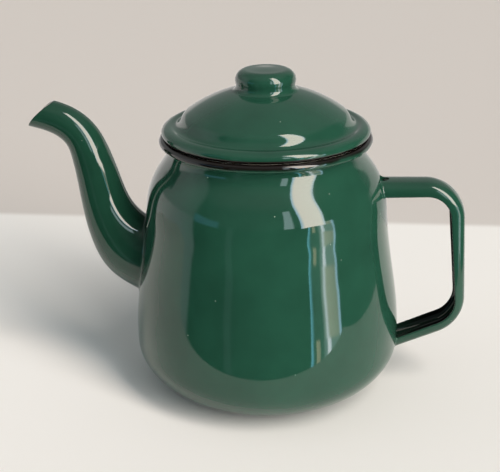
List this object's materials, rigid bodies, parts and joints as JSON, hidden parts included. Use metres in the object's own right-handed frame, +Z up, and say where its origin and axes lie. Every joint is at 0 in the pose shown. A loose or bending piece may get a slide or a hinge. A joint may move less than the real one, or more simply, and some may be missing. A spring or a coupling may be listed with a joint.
{
  "type": "enamelled teapot",
  "caption": "Green enamelled steel teapot: round-shouldered pot, S-curved spout, channel-section strap handle and a lift-off domed lid with a locating ring and a round knob.",
  "frame": {"origin": "centre of the flat standing face, on the pot's vertical axis", "axes": "+Z up along the pot's axis, +X towards the handle, -X towards the spout; the XZ plane is the mirror plane, and spout_left_half lies on the +Y side"},
  "size_m": [0.2434, 0.15, 0.183],
  "materials": {
    "green_enamel": "glossy fired vitreous enamel on pressed steel, black ground coat at the rim and inside the handle",
    "lid_green_enamel": "glossy fired vitreous enamel on pressed steel",
    "white_enamel": "glossy white fired enamel on pressed steel"
  },
  "bodies": {
    "pot": {"pot_shell": "green_enamel", "spout_left_half": "green_enamel", "spout_right_half": "green_enamel", "handle_strap": "green_enamel"},
    "lid": {"lid_shell": "lid_green_enamel", "lid_collar": "white_enamel", "lid_knob": "lid_green_enamel"}
  },
  "joints": [
    {"name": "lid_lift", "type": "slide", "parent": "pot", "child": "lid", "axis": [0, 0, 1], "range_m": [0, 0.08]}
  ]
}
